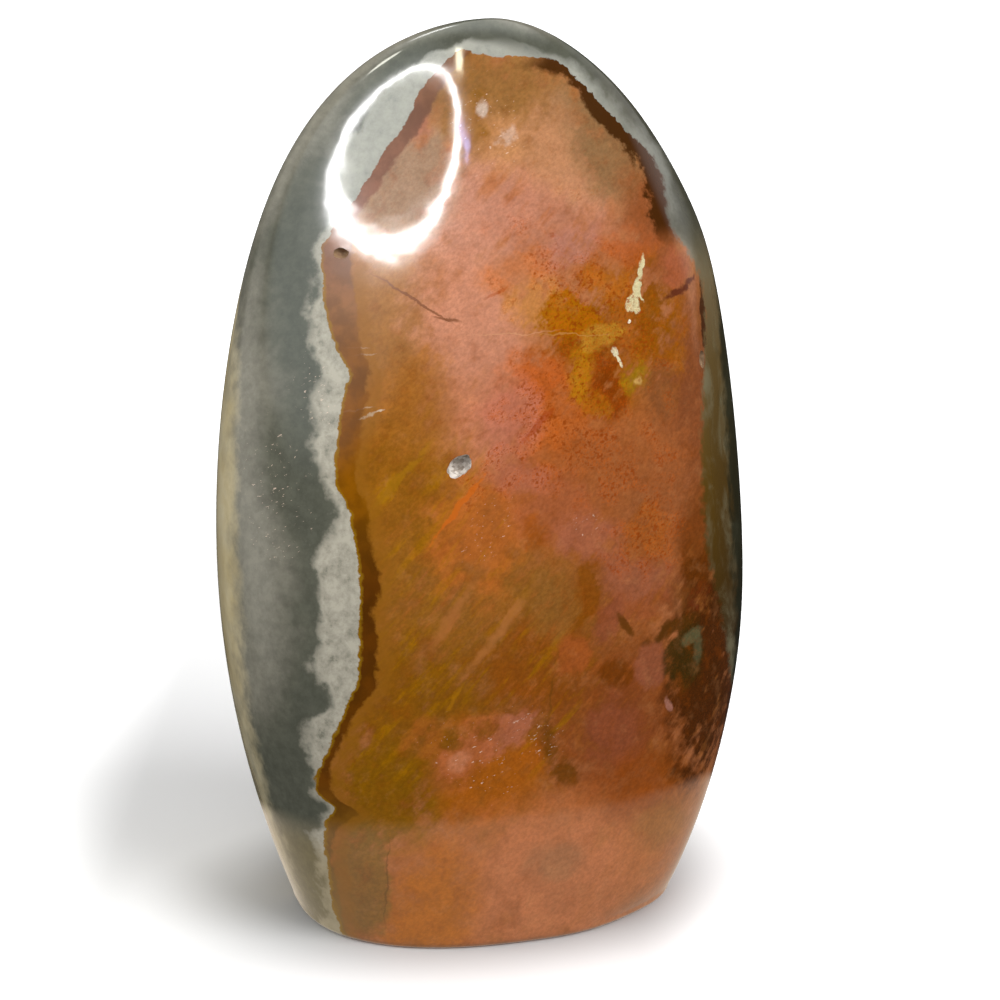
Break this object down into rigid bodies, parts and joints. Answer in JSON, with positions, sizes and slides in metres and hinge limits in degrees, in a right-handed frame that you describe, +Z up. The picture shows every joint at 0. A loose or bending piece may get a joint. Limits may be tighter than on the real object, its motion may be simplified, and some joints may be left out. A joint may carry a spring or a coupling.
{
  "type": "polychrome jasper freeform",
  "caption": "Polished standing freeform of polychrome jasper: a flattened egg of banded stone, cut off flat at the foot so that it stands upright.",
  "frame": {"origin": "on the flat foot, under the middle of the stone's bounding box", "axes": "+Z up from the foot to the crown, +X along the width to the right of the best face, +Y along the depth to the back; the best face looks along -Y"},
  "size_m": [0.0699, 0.043, 0.1148],
  "materials": {
    "polished_jasper": "hand polished to a glassy gloss, with a few small open pits"
  },
  "bodies": {
    "root": {"stone": "polished_jasper"}
  },
  "joints": []
}
